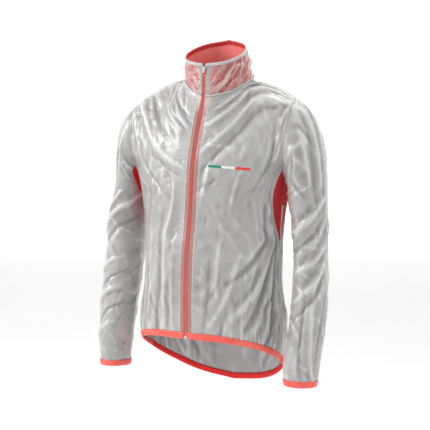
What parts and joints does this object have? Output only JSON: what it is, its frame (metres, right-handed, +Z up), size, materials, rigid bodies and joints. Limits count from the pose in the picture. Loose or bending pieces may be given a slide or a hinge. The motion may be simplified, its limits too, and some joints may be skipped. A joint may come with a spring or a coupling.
{
  "type": "windbreaker jacket",
  "caption": "Long-sleeved windbreaker in thin film, zipped up and filled out with no wearer, with a stand collar and a dropped tail.",
  "frame": {"origin": "the point between the shoulders, level with the sides of the neck seam, where the wearer holds the jacket up", "axes": "+Z up, the front faces -Y, the wearer's left sleeve is on +X"},
  "size_m": [0.6058, 0.2786, 0.8724],
  "materials": {
    "film": "thin translucent film with a wet gloss",
    "collar_film": "the same film, crinkled over a coral lining",
    "mesh": "fine open-knit mesh",
    "lining": "brushed knit",
    "pale_tape": "folded tape",
    "zip_tape": "woven zip tape",
    "zip_coil": "nylon coil",
    "zip_metal": "white painted die casting",
    "elastic": "folded elastic binding"
  },
  "bodies": {
    "jacket": {"front_left": "film", "front_right": "film", "back": "film", "sleeve_left": "film", "sleeve_right": "film", "gusset_left": "mesh", "gusset_right": "mesh", "collar_outer": "collar_film", "collar_lining": "lining", "collar_binding": "pale_tape", "neck_piping": "pale_tape", "zip_tape_left": "zip_tape", "zip_tape_right": "zip_tape", "zip_chain": "zip_coil", "zip_slider": "zip_metal", "zip_bottom_stop": "zip_metal", "hem_binding_front_left": "elastic", "hem_binding_front_right": "elastic", "hem_binding_back": "elastic", "cuff_binding_left": "elastic", "cuff_binding_right": "elastic"},
    "pull": {"zip_pull": "zip_metal"}
  },
  "joints": [
    {"name": "pull_hinge", "type": "hinge", "parent": "jacket", "child": "pull", "pos_m": [0, -0.05461, 0.0217], "axis": [-1, 0, 0], "range_deg": [0, 150]}
  ]
}
